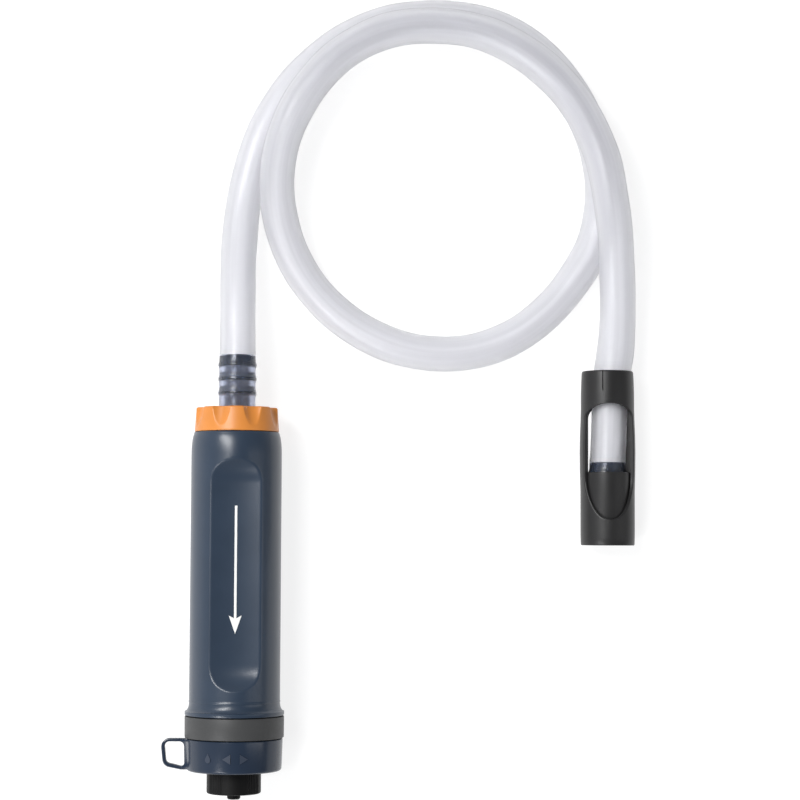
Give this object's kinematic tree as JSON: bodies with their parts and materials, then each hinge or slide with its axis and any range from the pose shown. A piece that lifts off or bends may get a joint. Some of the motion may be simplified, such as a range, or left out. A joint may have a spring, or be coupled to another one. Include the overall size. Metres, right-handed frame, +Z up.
{
  "type": "inline water filter",
  "caption": "Inline hollow-fibre water filter with a screw-on hose barb, turning base cap with nozzle, and a looped hose ending in a quick coupling.",
  "frame": {"origin": "middle of the filter's footprint on the surface it lies on, measured without the hose and the coupling", "axes": "+Y along the filter towards its hose end, +X towards the coupling, +Z up from the surface, out of the filter's front"},
  "size_m": [0.1583, 0.271, 0.033],
  "materials": {
    "slate_plastic": "satin moulded slate blue",
    "navy_plastic": "satin moulded navy blue",
    "grey_plastic": "fine matte neutral grey",
    "orange_plastic": "satin moulded orange",
    "black_plastic": "fine matte black",
    "coupling_plastic": "fine matte charcoal",
    "milky_hose": "milky translucent silicone",
    "seal_rubber": "matte black seal",
    "white_plastic": "natural white moulding",
    "membrane_fibre": "fibrous off-white membrane",
    "potting_resin": "cured amber resin",
    "filter_mesh": "woven polyester mesh"
  },
  "bodies": {
    "filter_body": {"housing_shell": "slate_plastic", "adapter_band": "grey_plastic", "band_o_ring": "seal_rubber", "cap_o_ring": "seal_rubber", "hose_barb": "navy_plastic", "barb_o_ring": "seal_rubber", "cartridge_sleeve": "white_plastic", "potting_disc": "potting_resin", "fibre_bundle": "membrane_fibre", "cartridge_base": "white_plastic", "prefilter_grid": "white_plastic", "prefilter_mesh": "filter_mesh", "prefilter_retainer": "white_plastic", "valve_plate": "white_plastic", "hose": "milky_hose", "hose_end_filter": "milky_hose", "hose_end_coupling": "milky_hose", "coupling_barb": "navy_plastic", "coupling_cup": "coupling_plastic", "coupling_o_ring": "seal_rubber"},
    "lock_washer": {"lock_washer": "white_plastic"},
    "lock_ring": {"lock_ring": "orange_plastic"},
    "base_cap": {"base_cap": "navy_plastic", "outlet_neck": "black_plastic", "neck_o_ring": "seal_rubber"},
    "nozzle_washer": {"nozzle_washer": "white_plastic"},
    "outlet_nozzle": {"outlet_nozzle": "black_plastic"},
    "coupling_sleeve": {"coupling_sleeve": "coupling_plastic"}
  },
  "joints": [
    {"name": "lock_ring_rise", "type": "slide", "parent": "filter_body", "child": "lock_washer", "axis": [0, 1, 0], "range_m": [0, 0.003]},
    {"name": "lock_ring_turn", "type": "hinge", "parent": "lock_washer", "child": "lock_ring", "pos_m": [0.00385, 0.0524, 0.0165], "axis": [0, 1, 0], "range_deg": [0, 360]},
    {"name": "base_cap_turn", "type": "hinge", "parent": "filter_body", "child": "base_cap", "pos_m": [0.00385, -0.059, 0.0165], "axis": [0, 1, 0], "range_deg": [0, 90]},
    {"name": "nozzle_travel", "type": "slide", "parent": "base_cap", "child": "nozzle_washer", "axis": [0, -1, 0], "range_m": [0, 0.003]},
    {"name": "nozzle_turn", "type": "hinge", "parent": "nozzle_washer", "child": "outlet_nozzle", "pos_m": [0.00385, -0.0672, 0.0165], "axis": [0, -1, 0], "range_deg": [0, 270]},
    {"name": "coupling_sleeve_slide", "type": "slide", "parent": "filter_body", "child": "coupling_sleeve", "axis": [0, -1, 0], "range_m": [0, 0.005]}
  ],
  "couplings": [
    {"joint": "lock_ring_rise", "follows": "lock_ring_turn", "m_per_rad": 0.00047746},
    {"joint": "nozzle_travel", "follows": "nozzle_turn", "m_per_rad": 0.00063661}
  ]
}
